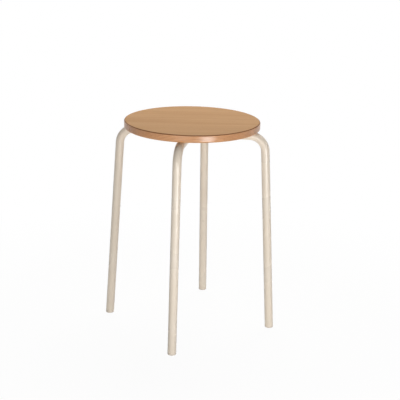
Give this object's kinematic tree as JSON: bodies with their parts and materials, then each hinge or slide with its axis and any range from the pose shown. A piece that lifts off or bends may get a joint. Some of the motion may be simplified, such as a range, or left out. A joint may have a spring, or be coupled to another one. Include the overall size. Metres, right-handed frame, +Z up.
{
  "type": "stacking stool",
  "caption": "Stacking stool: a round plywood seat with rounded edges, screwed to lugs on a welded frame of bent steel tube whose splayed legs stand just outside the seat.",
  "frame": {"origin": "on the floor, under the middle of the seat", "axes": "+Z up, the left and right legs on the X axis, the front and back legs on the Y axis, +Y towards the back"},
  "size_m": [0.401, 0.401, 0.48],
  "materials": {
    "seat_face_veneer": "satin lacquer",
    "seat_core_plies": "satin lacquer",
    "frame_coating": "satin powder coat",
    "screw_steel": "bright zinc",
    "glide_plastic": "fine matt"
  },
  "bodies": {
    "root": {"seat_top_veneer": "seat_face_veneer", "seat_core": "seat_core_plies", "seat_bottom_veneer": "seat_face_veneer", "leg_hoop": "frame_coating", "front_leg_tube": "frame_coating", "back_leg_tube": "frame_coating", "mounting_lug_left": "frame_coating", "mounting_lug_right": "frame_coating", "mounting_lug_front": "frame_coating", "mounting_lug_back": "frame_coating", "hub_weld_beads": "frame_coating", "lug_weld_beads": "frame_coating", "seat_screws": "screw_steel", "foot_glide_left": "glide_plastic", "foot_glide_right": "glide_plastic", "foot_glide_front": "glide_plastic", "foot_glide_back": "glide_plastic"}
  },
  "joints": []
}
